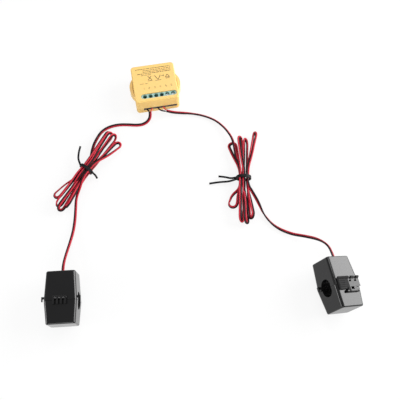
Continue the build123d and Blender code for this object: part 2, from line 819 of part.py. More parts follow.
def make_clamp(side, seat):
    with BuildPart() as body:
        add(half_shell(seat, 1, body_half_length, body_notch_depth))
        for number in range(1, knuckle_count, 2):
            with BuildSketch(seat.offset(knuckle_station(number))):
                with Locations((hinge_u, hinge_ahead)):
                    Circle(knuckle_radius)
                web = -hinge_u - clamp_width / 2 + wall_sink
                with Locations((hinge_u + web / 2, hinge_ahead)):
                    Rectangle(web, 2 * knuckle_radius)
            extrude(amount=(knuckle_pitch - knuckle_gap) / 2, both=True)
        with BuildSketch(seat):
            with Locations((hinge_u, hinge_ahead)):
                Circle(hinge_pin_radius + hinge_clearance)
        extrude(amount=clamp_thickness, both=True, mode=Mode.SUBTRACT)
        for centre in notch_centres:
            with BuildSketch(seat.offset(centre)):
                root_u = clamp_width / 2 - wall_sink
                tip_u = clamp_width / 2 + tooth_rise
                with BuildLine():
                    Polyline(
                        (root_u, tooth_low), (tip_u, tooth_low + tooth_rise),
                        (tip_u, tooth_high), (root_u, tooth_high), close=True,
                    )
                make_face()
            extrude(amount=tooth_width / 2, both=True)
        hook_plane = Plane(origin=local_point(seat, hook_u, 0, 0), x_dir=seat.y_dir, z_dir=seat.x_dir)
        with BuildSketch(hook_plane):
            for end in (-1, 1):
                stem_length = wall_sink + hook_reach
                stem_middle = end * (clamp_thickness / 2 - wall_sink + stem_length / 2)
                with Locations(((hook_stem_low + hook_high) / 2, stem_middle)):
                    Rectangle(hook_high - hook_stem_low, stem_length)
                bar_middle = end * (clamp_thickness / 2 + hook_reach - hook_thickness / 2)
                with Locations(((hook_low + hook_high) / 2, bar_middle)):
                    Rectangle(hook_high - hook_low, hook_thickness)
        extrude(amount=hook_width / 2, both=True)
        with BuildSketch(across(seat, body_half_length + cut_overrun)):
            with Locations((cord_entry_u, -cord_entry_w)):
                Circle(cord_width / 2 + cord_entry_clearance)
        extrude(amount=-clamp_wall - 2 * cut_overrun, mode=Mode.SUBTRACT)
    save(f"{side}_clamp_body", body.part)

    with BuildPart() as lid:
        add(half_shell(seat, -1, lid_half_length, lid_notch_depth))
        for number in range(0, knuckle_count, 2):
            with BuildSketch(seat.offset(knuckle_station(number))):
                with Locations((hinge_u, hinge_ahead)):
                    Circle(knuckle_radius)
                arm_low = hinge_ahead - hinge_arm_drop
                arm_width = 2 * knuckle_radius - 2 * hinge_stand_off
                with Locations((hinge_u - hinge_stand_off, (hinge_ahead + arm_low) / 2)):
                    Rectangle(arm_width, hinge_arm_drop)
                foot_top = -split_gap
                foot_u = hinge_u + (knuckle_radius + hinge_stand_off + wall_sink) / 2
                with Locations((foot_u, (foot_top + arm_low) / 2)):
                    Rectangle(knuckle_radius + hinge_stand_off + wall_sink, foot_top - arm_low)
            extrude(amount=(knuckle_pitch - knuckle_gap) / 2, both=True)
        with BuildSketch(seat):
            with Locations((hinge_u, hinge_ahead)):
                Circle(hinge_pin_radius + hinge_clearance)
        extrude(amount=clamp_thickness, both=True, mode=Mode.SUBTRACT)
        for end in (-1, 1):
            ear_middle = latch_foot_centre + end * (latch_ear_inner + latch_ear_outer) / 2
            with BuildSketch(seat.offset(ear_middle)):
                with Locations((latch_pivot_u, latch_pivot_v)):
                    Circle(latch_ear_radius)
                root = latch_pivot_u - lid_wall_at_pivot + wall_sink
                with Locations((latch_pivot_u - root / 2, latch_pivot_v)):
                    Rectangle(root, 2 * latch_ear_radius)
                with Locations((latch_pivot_u, latch_pivot_v)):
                    Circle(latch_pin_radius + hinge_clearance, mode=Mode.SUBTRACT)
            extrude(amount=(latch_ear_outer - latch_ear_inner) / 2, both=True)
    save(f"{side}_clamp_lid", lid.part)

    with BuildPart() as hinge_pin:
        with BuildSketch(seat):
            with Locations((hinge_u, hinge_ahead)):
                Circle(hinge_pin_radius)
        extrude(amount=hinge_half_length, both=True)
    save(f"{side}_hinge_pin", hinge_pin.part)

    with BuildPart() as latch:
        with BuildSketch(seat):
            with BuildLine():
                Polyline(
                    (latch_inner_u, latch_plate_low),
                    (latch_inner_u, latch_top),
                    (latch_outer_u + latch_lip_reach - latch_plate, latch_top + latch_lip_rise),
                    (latch_outer_u + latch_lip_reach, latch_top),
                    (latch_outer_u, latch_top - latch_lip_reach),
                    (latch_outer_u, latch_plate_low),
                    close=True,
                )
            make_face()
        extrude(amount=latch_half_width, both=True)
        block_middle = (latch_block_inner + latch_block_outer) / 2
        with BuildSketch(seat.offset(block_middle)):
            block_high = latch_top - latch_lip_reach
            block_depth_u = latch_plate + latch_block_rise
            with Locations((latch_inner_u + block_depth_u / 2, (block_high + latch_block_low) / 2)):
                Rectangle(block_depth_u, block_high - latch_block_low)
        extrude(amount=(latch_block_outer - latch_block_inner) / 2, both=True)
        rib_pitch = (block_high - latch_block_low) / (latch_rib_count + 1)
        with BuildSketch(seat.offset(block_middle)):
            for rib in range(latch_rib_count):
                rib_v = latch_block_low + (rib + 1) * rib_pitch
                with Locations((latch_outer_u + latch_block_rise, rib_v)):
                    Rectangle(2 * latch_rib_depth, latch_rib_width)
        rib_half_run = (latch_block_outer - latch_block_inner) / 2 + split_gap
        extrude(amount=rib_half_run, both=True, mode=Mode.SUBTRACT)
        for centre in notch_centres:
            with BuildSketch(seat.offset(centre)):
                notch_high = latch_top + latch_lip_rise
                with Locations((latch_outer_u, (notch_low + notch_high) / 2 + cut_overrun / 2)):
                    Rectangle(4 * latch_plate + 2 * latch_lip_reach, notch_high - notch_low + cut_overrun)
            extrude(amount=notch_width / 2, both=True, mode=Mode.SUBTRACT)
        foot_plane = seat.offset(latch_foot_centre)
        with BuildSketch(foot_plane):
            with BuildLine():
                Polyline(
                    (latch_inner_u, latch_plate_low + latch_plate),
                    (latch_outer_u, latch_plate_low + latch_plate),
                    (latch_pivot_u + latch_barrel_radius, latch_pivot_v),
                    (latch_pivot_u - latch_barrel_radius, latch_pivot_v),
                    close=True,
                )
            make_face()
            with Locations((latch_pivot_u, latch_pivot_v)):
                Circle(latch_barrel_radius)
        extrude(amount=latch_foot_half, both=True)
        with BuildSketch(foot_plane):
            window_low = latch_pivot_v + latch_barrel_radius
            with Locations((latch_pivot_u, (latch_plate_low + window_low) / 2)):
                Rectangle(4 * latch_barrel_radius, latch_plate_low - window_low)
        extrude(amount=latch_foot_window, both=True, mode=Mode.SUBTRACT)
        with BuildSketch(foot_plane):
            with Locations((latch_pivot_u, latch_pivot_v)):
                Circle(latch_pin_radius)
        extrude(amount=latch_ear_outer, both=True)
    save(f"{side}_latch", latch.part)

    save(f"{side}_fixed_core", u_core(seat, 1, body_yoke_front))
    save(f"{side}_moving_core", u_core(seat, -1, lid_yoke_front))

    with BuildPart() as core_pad:
        pad_front = -(lid_yoke_front + ferrite_leg + pad_clearance)
        pad_back = -(lid_half_length - clamp_wall - pad_clearance)
        with BuildSketch(seat):
            with Locations((0, (pad_front + pad_back) / 2)):
                Rectangle(pad_width, pad_front - pad_back)
        extrude(amount=ferrite_thickness / 2, both=True)
    save(f"{side}_core_pad", core_pad.part)

    yoke_middle = body_yoke_front + ferrite_leg / 2
    side_plane = Plane(origin=local_point(seat, 0, yoke_middle, 0), x_dir=seat.y_dir, z_dir=seat.x_dir)
    tube_v = ferrite_leg + 2 * bobbin_clearance
    tube_w = ferrite_thickness + 2 * bobbin_clearance
    with BuildPart() as bobbin:
        half_span = ferrite_leg_inner - ferrite_clearance
        with BuildSketch(side_plane):
            RectangleRounded(tube_v + 2 * bobbin_wall, tube_w + 2 * bobbin_wall, bobbin_wall)
        extrude(amount=half_span, both=True)
        for end in (-1, 1):
            with BuildSketch(side_plane.offset(end * half_span)):
                rise = bobbin_wall + bobbin_flange_rise
                RectangleRounded(tube_v + 2 * rise, tube_w + 2 * rise, bobbin_flange_rise)
            extrude(amount=-end * bobbin_wall)
        with BuildSketch(side_plane):
            Rectangle(tube_v, tube_w)
        extrude(amount=clamp_width, both=True, mode=Mode.SUBTRACT)
    save(f"{side}_bobbin", bobbin.part)

    with BuildPart() as winding:
        bore_v = tube_v + 2 * bobbin_wall + 2 * winding_clearance
        bore_w = tube_w + 2 * bobbin_wall + 2 * winding_clearance
        with BuildSketch(side_plane):
            RectangleRounded(bore_v + 2 * winding_rise, bore_w + 2 * winding_rise, winding_rise)
            RectangleRounded(bore_v, bore_w, bobbin_wall + winding_clearance, mode=Mode.SUBTRACT)
        extrude(amount=half_span - bobbin_wall - winding_clearance, both=True)
    save(f"{side}_winding", winding.part)


def seat_plane(x, y, z, heading, pitch, roll):
    turn = Location((x, y, z), (0, 0, heading))
    tip_up = Location((0, 0, 0), (pitch, 0, 0))
    roll_over = Location((0, 0, 0), (0, roll, 0))
    return Plane(turn * tip_up * roll_over)


# The left clamp lies on the lip and the ribbed block of its latch, hinge up and hole axis level. The
# right clamp lies on its hinge and the long edge beside it, latch up.
lip_u = latch_outer_u + latch_lip_reach
left_pitch = math.degrees(math.atan2(latch_lip_reach - latch_block_rise, latch_top - latch_block_low))
left_height = lip_u * math.cos(math.radians(left_pitch)) - latch_top * math.sin(math.radians(left_pitch))
left_seat = seat_plane(left_clamp_x, left_clamp_y, left_height, left_clamp_heading, left_pitch, 90)
roll_rise = math.sin(math.radians(-right_clamp_roll))
roll_run = math.cos(math.radians(right_clamp_roll))
hinge_drop = (knuckle_radius - hinge_u) * roll_rise + hinge_half_length * roll_run
edge_u = clamp_width / 2 - long_edge_round
edge_w = clamp_thickness / 2 - long_edge_round
edge_drop = edge_u * roll_rise + edge_w * roll_run + long_edge_round
right_height = max(hinge_drop, edge_drop)
right_seat = seat_plane(right_clamp_x, right_clamp_y, right_height, right_clamp_heading, 0, right_clamp_roll)
print("left clamp height", left_height, "pitch", left_pitch, "right clamp height", right_height)
print("hinge drop", hinge_drop, "edge drop", edge_drop)
make_clamp("left", left_seat)
make_clamp("right", right_seat)


def clamp_entry(seat, station):
    point = local_point(seat, cord_entry_u, station, cord_entry_w)
    return (point.X, point.Y, point.Z)


winding_back = body_yoke_front + ferrite_leg + bobbin_clearance + bobbin_wall + bobbin_flange_rise
cord_stop = winding_back + cord_inside_gap
for side, seat, route in (("left", left_seat, left_clamp_route), ("right", right_seat, right_clamp_route)):
    outside = clamp_entry(seat, body_half_length + cord_straight)
    points = route + [outside, clamp_entry(seat, cord_stop)]
    save(f"{side}_clamp_lead", tube(f"{side}_clamp_lead", points, cord_width).part)
for side, route in (("left", left_module_route), ("right", right_module_route)):
    save(f"{side}_module_lead", tube(f"{side}_module_lead", route, cord_width).part)


# Single wires from the terminals to where each pair joins, and their bare ends in the sleeves
def make_tails(side, route, terminals, bends):
    join = Vector(*route[0])
    onward = (Vector(*route[1]) - join).normalized()
    sideways = onward.cross(Vector(0, 0, 1)).normalized()
    for colour, number, bend, shift in zip(("black", "red"), terminals, bends, (1, -1)):
        end = join + sideways * (shift * tail_spread) - onward * tail_join_gap
        points = [(terminal_x(number), tail_end_y, wire_height)] + bend + [(end.X, end.Y, end.Z)]
        save(f"{side}_tail_{colour}", tube(f"{side}_tail_{colour}", points, wire_diameter).part)


make_tails("left", left_module_route, (0, 1), left_tail_bends)
make_tails("right", right_module_route, (2, 3), right_tail_bends)

with BuildPart() as bare_wire_ends:
    for number in range(terminal_count - open_terminals):
        with BuildSketch(Plane.XZ.offset(-tail_end_y)):
            with Locations((terminal_x(number), wire_height)):
                Circle(bare_wire_diameter / 2)
        extrude(amount=-(bare_wire_end_y - tail_end_y))
save("bare_wire_ends", bare_wire_ends.part)


# Hanks of folded cord, pinched by the ties
def make_hank(side, x, y, heading, shares, tails):
    turn = math.radians(heading)
    along = Vector(math.cos(turn), math.sin(turn), 0)
    sideways = Vector(math.sin(turn), -math.cos(turn), 0)
    with BuildPart() as hank:
        for station, shift_share, width_share, thickness_share, height_share in shares:
            centre = Vector(x, y, height_share * hank_thickness) + along * (station * hank_half_length)
            centre += sideways * (shift_share * hank_half_width)
            with BuildSketch(Plane(origin=centre, x_dir=sideways, z_dir=along)):
                Ellipse(width_share * hank_half_width, thickness_share * hank_thickness / 2)
        loft()
    save(f"{side}_hank", hank.part)
    middle = shares[len(shares) // 2]
    waist_width = middle[2] * hank_half_width + tie_clearance
    waist_height = middle[3] * hank_thickness / 2 + tie_clearance
    waist = Vector(x, y, middle[4] * hank_thickness)
    with BuildPart() as tie:
        with BuildSketch(Plane(origin=waist, x_dir=sideways, z_dir=along)):
            Ellipse(waist_width + tie_thickness, waist_height + tie_thickness)
            Ellipse(waist_width, waist_height, mode=Mode.SUBTRACT)
        extrude(amount=tie_half_width, both=True)
        for points in tails:
            with BuildLine() as path:
                FilletPolyline(*points, radius=corner_radii(points))
            with BuildSketch(Plane(origin=path.line @ 0, z_dir=path.line % 0)):
                Circle(tie_wire_diameter / 2)
            sweep(path=path.line)
    print(side, "hank box", hank.part.bounding_box(), "tie box", tie.part.bounding_box())
    save(f"{side}_hank_tie", tie.part)


make_hank("left", left_hank_x, left_hank_y, left_hank_heading, left_hank_shares, left_tie_tails)
make_hank("right", right_hank_x, right_hank_y, right_hank_heading, right_hank_shares, right_tie_tails)
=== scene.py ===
import math
import random
from collections import namedtuple

import bmesh
import bpy
from mathutils import Matrix, Vector


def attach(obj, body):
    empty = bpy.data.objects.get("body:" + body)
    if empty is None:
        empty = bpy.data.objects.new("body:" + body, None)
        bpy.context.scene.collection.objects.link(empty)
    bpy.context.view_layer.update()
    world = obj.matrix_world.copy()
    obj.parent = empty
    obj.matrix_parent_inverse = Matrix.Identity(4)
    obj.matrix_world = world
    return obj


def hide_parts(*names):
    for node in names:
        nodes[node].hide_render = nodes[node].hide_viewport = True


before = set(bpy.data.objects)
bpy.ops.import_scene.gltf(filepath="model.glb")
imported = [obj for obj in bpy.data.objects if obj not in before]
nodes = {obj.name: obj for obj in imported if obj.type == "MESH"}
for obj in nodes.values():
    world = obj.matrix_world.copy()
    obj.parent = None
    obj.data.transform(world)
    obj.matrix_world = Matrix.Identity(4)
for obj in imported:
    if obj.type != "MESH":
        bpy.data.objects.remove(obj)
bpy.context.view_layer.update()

MM = 0.001
WHITE = (1.0, 1.0, 1.0, 1.0)


def link(data, name):
    obj = bpy.data.objects.new(name, data)
    bpy.context.scene.collection.objects.link(obj)
    return obj


def mesh_object(bm, name, *finishes):
    mesh = bpy.data.meshes.new(name)
    bm.to_mesh(mesh)
    bm.free()
    for finish in finishes:
        mesh.materials.append(finish)
    return link(mesh, name)


# The camera and the lamps stand round this place on the floor and look at it
TARGET = Vector((0.0220, -0.1118, 0.0))


def aim(obj, azimuth, elevation, distance):
    a, e = math.radians(azimuth), math.radians(elevation)
    outward = Vector((math.sin(a) * math.cos(e), -math.cos(a) * math.cos(e), math.sin(e)))
    obj.location = TARGET + outward * distance
    obj.rotation_mode = "QUATERNION"
    obj.rotation_quaternion = (-outward).to_track_quat("-Z", "Y")


# Camera of the photograph: seen from above the wire side, a little from the left
AZIMUTH, ELEVATION, DISTANCE = -9.75, 67.0, 0.529
camera_data = bpy.data.cameras.new("camera")
camera_data.sensor_width = 36.0
camera_data.lens = 55.8
camera_data.clip_start, camera_data.clip_end = 0.01, 10.0
camera = link(camera_data, "camera")
aim(camera, AZIMUTH, ELEVATION, DISTANCE)
bpy.context.scene.camera = camera
bpy.context.scene.view_settings.view_transform = "Standard"


# A socket takes a plain value or the output of another node
def put(tree, socket, value):
    if isinstance(value, bpy.types.NodeSocket):
        tree.links.new(value, socket)
    else:
        socket.default_value = value


def math_node(tree, operation, *values):
    made = tree.nodes.new("ShaderNodeMath")
    made.operation = operation
    for socket, value in zip(made.inputs, values):
        put(tree, socket, value)
    return made.outputs[0]


def noise_node(tree, place, scale, detail):
    made = tree.nodes.new("ShaderNodeTexNoise")
    put(tree, made.inputs["Vector"], place)
    put(tree, made.inputs["Scale"], scale)
    put(tree, made.inputs["Detail"], detail)
    return made.outputs["Fac"]


# Shared surface group: broad tone change, fine grain and paler worn edges
BROAD_SCALE = 90.0
MARK_SCALE = 420.0
EDGE_FROM, EDGE_TO = 0.52, 0.62
WORN_COLOR = (0.75, 0.74, 0.72, 1.0)
ROUGHNESS_CHANGE = 0.18


def surface_group():
    tree = bpy.data.node_groups.new("surface_detail", "ShaderNodeTree")
    for name, kind, way in (
        ("Vector", "Vector", "INPUT"), ("Color", "Color", "INPUT"), ("Roughness", "Float", "INPUT"),
        ("Tone", "Float", "INPUT"), ("Grain Scale", "Float", "INPUT"), ("Grain", "Float", "INPUT"),
        ("Wear", "Float", "INPUT"),
        ("Color", "Color", "OUTPUT"), ("Roughness", "Float", "OUTPUT"), ("Height", "Float", "OUTPUT"),
    ):
        tree.interface.new_socket(name, in_out=way, socket_type=f"NodeSocket{kind}")
    given = tree.nodes.new("NodeGroupInput").outputs
    result = tree.nodes.new("NodeGroupOutput").inputs
    broad = noise_node(tree, given["Vector"], scale=BROAD_SCALE, detail=3.0)
    fine = noise_node(tree, given["Vector"], scale=given["Grain Scale"], detail=2.0)
    marks = noise_node(tree, given["Vector"], scale=MARK_SCALE, detail=5.0)
    edge = tree.nodes.new("ShaderNodeMapRange")
    put(tree, edge.inputs["Value"], tree.nodes.new("ShaderNodeNewGeometry").outputs["Pointiness"])
    put(tree, edge.inputs["From Min"], EDGE_FROM)
    put(tree, edge.inputs["From Max"], EDGE_TO)
    broken = math_node(tree, "MULTIPLY", edge.outputs["Result"], marks)
    worn = math_node(tree, "MULTIPLY", broken, given["Wear"])
    change = math_node(tree, "SUBTRACT", broad, 0.5)
    toned = tree.nodes.new("ShaderNodeVectorMath")
    toned.operation = "SCALE"
    put(tree, toned.inputs[0], given["Color"])
    put(tree, toned.inputs["Scale"], math_node(tree, "MULTIPLY_ADD", change, given["Tone"], 1.0))
    mixed = tree.nodes.new("ShaderNodeMix")
    mixed.data_type = "RGBA"
    put(tree, mixed.inputs["Factor"], worn)
    put(tree, mixed.inputs[6], toned.outputs[0])
    put(tree, mixed.inputs[7], WORN_COLOR)
    put(tree, result["Color"], mixed.outputs[2])
    roughness = math_node(tree, "MULTIPLY_ADD", change, ROUGHNESS_CHANGE, given["Roughness"])
    put(tree, result["Roughness"], roughness)
    put(tree, result["Height"], math_node(tree, "MULTIPLY", fine, given["Grain"]))
    return tree


surface = surface_group()
COAT_ROUGHNESS = 0.12
LIGHT_REACH = (0.002, 0.001, 0.0006)
BUMP_STRENGTH, BUMP_DEPTH = 0.35, 0.0002


def material(name, color, roughness=0.4, metallic=0.0, coat=0.0, tone=0.06, grain=0.05, grain_scale=2500.0,
             wear=0.15, transmission=0.0, subsurface=0.0, specular=0.5):
    mat = bpy.data.materials.new(name)
    mat.use_nodes = True
    tree = mat.node_tree
    shader = tree.nodes["Principled BSDF"].inputs
    for socket, value in (
        ("Metallic", metallic), ("Coat Weight", coat), ("Coat Roughness", COAT_ROUGHNESS),
        ("Transmission Weight", transmission), ("Subsurface Weight", subsurface),
        ("Specular IOR Level", specular), ("Subsurface Radius", LIGHT_REACH),
    ):
        put(tree, shader[socket], value)
    group = tree.nodes.new("ShaderNodeGroup")
    group.node_tree = surface
    for socket, value in (
        ("Vector", tree.nodes.new("ShaderNodeTexCoord").outputs["Object"]), ("Color", (*color, 1.0)),
        ("Roughness", roughness), ("Tone", tone), ("Grain Scale", grain_scale), ("Grain", grain),
        ("Wear", wear),
    ):
        put(tree, group.inputs[socket], value)
    bump = tree.nodes.new("ShaderNodeBump")
    put(tree, bump.inputs["Strength"], BUMP_STRENGTH)
    put(tree, bump.inputs["Distance"], BUMP_DEPTH)
    put(tree, bump.inputs["Height"], group.outputs["Height"])
    put(tree, shader["Base Color"], group.outputs["Color"])
    put(tree, shader["Roughness"], group.outputs["Roughness"])
    put(tree, shader["Normal"], bump.outputs["Normal"])
    return mat


housing = material("housing_yellow", (0.80, 0.52, 0.15), 0.5, tone=0.05, grain=0.25, grain_scale=1800,
                   wear=0.1, subsurface=0.05)
# Painted shade colour for the flat dark sheet beside each ear
ear_shade = material("ear_shade", (0.48, 0.27, 0.06), 0.6, wear=0.0)
ink = material("print_ink", (0.11, 0.07, 0.02), 0.5, wear=0.0)
teal = material("terminal_teal", (0.19, 0.38, 0.33), 0.3, tone=0.08, grain=0.1)
brass = material("contact_brass", (0.80, 0.60, 0.28), 0.3, metallic=1.0, tone=0.15)
steel = material("screw_steel", (0.86, 0.90, 0.92), 0.45, metallic=0.6, tone=0.15, grain=0.15, wear=0.0)
# Dark copy of the screw steel: painted shade for the screws sunk in their wells
steel_painted_shade = material("screw_steel_down", (0.09, 0.10, 0.10), 0.5, metallic=0.8, tone=0.15, grain=0.15,
                      wear=0.0)
board = material("board_green", (0.02, 0.16, 0.07), 0.35, coat=0.3, tone=0.25, grain=0.2, grain_scale=900)
tin = material("shield_tin", (0.72, 0.72, 0.70), 0.33, metallic=1.0, tone=0.2, grain=0.2)
chip = material("chip_black", (0.015, 0.015, 0.016), 0.5, grain=0.3, grain_scale=5000)
sleeve = material("capacitor_sleeve", (0.02, 0.025, 0.05), 0.3, coat=0.4)
box_cap = material("capacitor_box", (0.70, 0.45, 0.06), 0.45)
blue = material("varistor_blue", (0.02, 0.09, 0.42), 0.35, coat=0.4)
ferrite = material("ferrite", (0.05, 0.05, 0.055), 0.6, grain=0.5, grain_scale=3000, tone=0.2)
copper_coil = material("winding_copper", (0.50, 0.17, 0.05), 0.3, coat=0.5, grain=0.6, grain_scale=4000)
grey = material("button_grey", (0.45, 0.46, 0.47), 0.4)
lens = material("lamp_lens", (0.75, 0.92, 0.78), 0.12, transmission=0.6)
copper = material("bare_copper", (0.85, 0.45, 0.30), 0.3, metallic=1.0, tone=0.2, grain=0.6,
                  grain_scale=6000)
# The tails are the same red insulation as wire_red, painted brighter here: painted light on the tails at the
# module
tail_red = material("tail_red", (0.70, 0.08, 0.05), 0.38, tone=0.1, wear=0.0)
wire_black = material("wire_black", (0.016, 0.006, 0.008), 0.5, tone=0.2, grain=0.01, wear=0.0, specular=0.2)
wire_red = material("wire_red", (0.44, 0.012, 0.030), 0.45, tone=0.25, grain=0.01, wear=0.0, specular=0.3)
tie_black = material("tie_black", (0.006, 0.006, 0.007), 0.5, grain=0.3, wear=0.0, specular=0.15)
clamp_black = material("clamp_black", (0.0035, 0.0035, 0.004), 0.13, tone=0.2, grain=0.015, grain_scale=1500,
                       wear=0.01)
latch_black = material("latch_black", (0.004, 0.004, 0.0045), 0.38, tone=0.2, grain=0.1, grain_scale=1500,
                       wear=0.01)
pin_steel = material("pin_steel", (0.6, 0.6, 0.6), 0.3, metallic=1.0)
foam = material("pad_foam", (0.05, 0.05, 0.05), 0.8, grain=1.0, grain_scale=1500)
bobbin_white = material("bobbin_white", (0.78, 0.75, 0.68), 0.45)

# Finish of each solid, by its name without the side or the number
FINISH = {
    "module_base": housing, "module_cover": housing, "circuit_board": board, "terminal_block": teal,
    "terminal_contacts": brass, "terminal_leaf": brass, "radio_board": board, "radio_shield": tin,
    "metering_chip": chip, "bulk_capacitor": sleeve, "film_capacitor": box_cap, "varistor": blue,
    "transformer_core": ferrite, "transformer_winding": copper_coil, "tact_switch": chip,
    "switch_plunger": grey, "pairing_button": grey, "status_lamp": lens, "bare_wire_ends": copper,
    "tail_black": wire_black, "tail_red": tail_red, "hank_tie": tie_black, "clamp_body": clamp_black,
    "clamp_lid": clamp_black, "hinge_pin": pin_steel, "latch": latch_black, "fixed_core": ferrite,
    "moving_core": ferrite, "core_pad": foam, "bobbin": bobbin_white, "winding": copper_coil,
}
# The two screws that are backed off keep the plain steel; the four that are screwed down get a dark copy of
# it, painted shade for their wells
BACKED_OFF = ("terminal_screw_5", "terminal_screw_6")
for name, obj in nodes.items():
    plain = name.replace("left_", "").replace("right_", "").rstrip("_123456")
    finish = FINISH.get(plain)
    if plain == "terminal_screw":
        finish = steel if name in BACKED_OFF else steel_painted_shade
    if finish is not None:
        obj.data.materials.clear()
        obj.data.materials.append(finish)


# Resting places of the two clamps, in millimetres and degrees: u points to the latch, v to the cable
# and w along the hole
def seat(x, y, z, heading, pitch, roll):
    turn = Matrix.Rotation(math.radians(heading), 4, "Z")
    turn = turn @ Matrix.Rotation(math.radians(pitch), 4, "X") @ Matrix.Rotation(math.radians(roll), 4, "Y")
    return Matrix.Translation(Vector((x, y, z)) * MM) @ turn


# The left clamp lies on the lip and the ribbed block of its latch
LATCH_LIP_U, LATCH_TOP, LATCH_BLOCK_LOW = 14.15, 4.4, -4.8
LATCH_LIP_REACH, LATCH_BLOCK_RISE = 1.5, 0.7
LEFT_TILT = math.atan2(LATCH_LIP_REACH - LATCH_BLOCK_RISE, LATCH_TOP - LATCH_BLOCK_LOW)
LEFT_HEIGHT = LATCH_LIP_U * math.cos(LEFT_TILT) - LATCH_TOP * math.sin(LEFT_TILT)
# The right clamp lies on its hinge and the long edge beside it
CLAMP_WIDTH, CLAMP_DEPTH, LONG_EDGE_ROUND = 22.6, 25.4, 2.4
EDGE_U, EDGE_W = CLAMP_WIDTH / 2 - LONG_EDGE_ROUND, CLAMP_DEPTH / 2 - LONG_EDGE_ROUND
RIGHT_ROLL = 60.0
RIGHT_LEAN = math.radians(RIGHT_ROLL)
RIGHT_HEIGHT = EDGE_U * math.sin(RIGHT_LEAN) + EDGE_W * math.cos(RIGHT_LEAN) + LONG_EDGE_ROUND
SEATS = {
    "left": seat(-98.3, -184.2, LEFT_HEIGHT, -6.2, math.degrees(LEFT_TILT), 90.0),
    "right": seat(114.6, -209.8, RIGHT_HEIGHT, 2.8, 0.0, -RIGHT_ROLL),
}


def on_clamp(side, u, v, w):
    return SEATS[side] @ (Vector((u, v, w)) * MM)


# The ribbed half of each latch is duller than the plate between its notches
PLATE_ROUGHNESS, RIB_ROUGHNESS = 0.38, 0.88
RIBS_FROM = 0.4


def latch_finish(side):
    mat = latch_black.copy()
    mat.name = f"{side}_latch_black"
    tree = mat.node_tree
    hole_axis = SEATS[side].to_3x3().col[2]
    station = tree.nodes.new("ShaderNodeVectorMath")
    station.operation = "DOT_PRODUCT"
    put(tree, station.inputs[0], tree.nodes.new("ShaderNodeTexCoord").outputs["Object"])
    put(tree, station.inputs[1], hole_axis)
    start = hole_axis.dot(SEATS[side].translation) + RIBS_FROM * MM
    ribbed = math_node(tree, "GREATER_THAN", station.outputs["Value"], start)
    change = RIB_ROUGHNESS - PLATE_ROUGHNESS
    roughness = math_node(tree, "MULTIPLY_ADD", ribbed, change, PLATE_ROUGHNESS)
    put(tree, tree.nodes["Principled BSDF"].inputs["Roughness"], roughness)
    return mat


for side in SEATS:
    nodes[f"{side}_latch"].data.materials[0] = latch_finish(side)


# Routes of the leads, as in the solid model
def in_metres(points):
    return [Vector(point) * MM for point in points]


LEFT_MODULE = in_metres([
    (-8.0, -21.9, 6.1), (-8.2, -25.2, 4.9), (-9.8, -28.3, 3.7), (-12.6, -30.4, 2.6), (-16.6, -31.5, 1.8),
    (-22.0, -31.0, 1.3), (-29.0, -29.2, 1.3), (-38.0, -27.7, 1.3), (-46.5, -29.0, 1.9), (-53.2, -33.2, 3.2),
    (-57.6, -39.5, 4.4),
])
LEFT_CLAMP = in_metres([
    (-81.4, -93.4, 3.4), (-82.8, -101.5, 2.2), (-84.2, -110.5, 1.3), (-86.5, -121.5, 1.6),
    (-89.7, -132.0, 4.0), (-93.0, -142.0, 7.0), (-95.4, -150.5, 9.9),
])
RIGHT_MODULE = in_metres([
    (6.6, -22.9, 5.2), (11.2, -24.0, 3.2), (18.4, -25.0, 1.6), (28.0, -27.0, 1.3), (38.6, -31.0, 1.3),
    (48.6, -37.6, 1.5), (55.2, -47.2, 2.6), (58.7, -56.2, 4.0), (60.0, -63.2, 4.8),
])
RIGHT_CLAMP = in_metres([
    (66.3, -112.8, 5.2), (70.0, -123.0, 3.2), (72.6, -135.0, 1.4), (79.4, -147.0, 1.3), (91.0, -155.6, 2.0),
    (101.4, -160.6, 5.6), (110.2, -166.6, 10.8), (115.4, -174.2, 15.8),
])

# Hanks, in millimetres: s runs along the hank from its tie, q across it and z up from the floor.
# A turn is half a circle that ends at s = end, round q = across and z = height. Its two sides lie reach
# and rise away from there. At s = guide the run has gone this share of the way to the side of the turn.
Turn = namedtuple("Turn", "end across height reach rise guide share")
Hank = namedtuple("Hank", "x y heading top bottom first last")
# Places (q, z) of the nine runs inside the tie
WAIST = [
    (-2.8, 3.0), (-2.8, 5.7), (-2.8, 8.4), (0.0, 8.4), (0.0, 5.7),
    (0.0, 3.0), (2.8, 3.0), (2.8, 5.7), (3.2, 8.4),
]
# At this distance on both sides of the tie the runs have spread by this factor
WAIST_HALF, WAIST_SPREAD = 9.0, 1.12
TURN_STEPS, TURN_LEAD = 4, 3.5
LEFT_HANK = Hank(
    -70.0, -69.0, 46.0,
    top=[
        Turn(39.2, -7.2, 5.2, 1.3, 3.3, 20, 0.55), Turn(40.0, -3.4, 5.2, 1.3, -3.3, 20, 0.5),
        Turn(40.4, 0.6, 5.2, 1.3, -3.3, 20, 0.5), Turn(37.4, 6.9, 2.4, 3.0, 0.4, 21, 0.62),
    ],
    bottom=[
        Turn(-35.0, -6.6, 2.4, 2.9, 0.4, 20, 0.66), Turn(-40.6, 0.6, 5.2, 1.3, -3.3, 20, 0.5),
        Turn(-42.6, 4.4, 5.2, 1.3, -3.3, 20, 0.5), Turn(-37.2, 7.8, 5.2, 1.3, 3.3, 20, 0.5),
    ],
    first=[(21.0, -9.4, 4.6)],
    last=[(-17.0, 6.8, 6.6)],
)
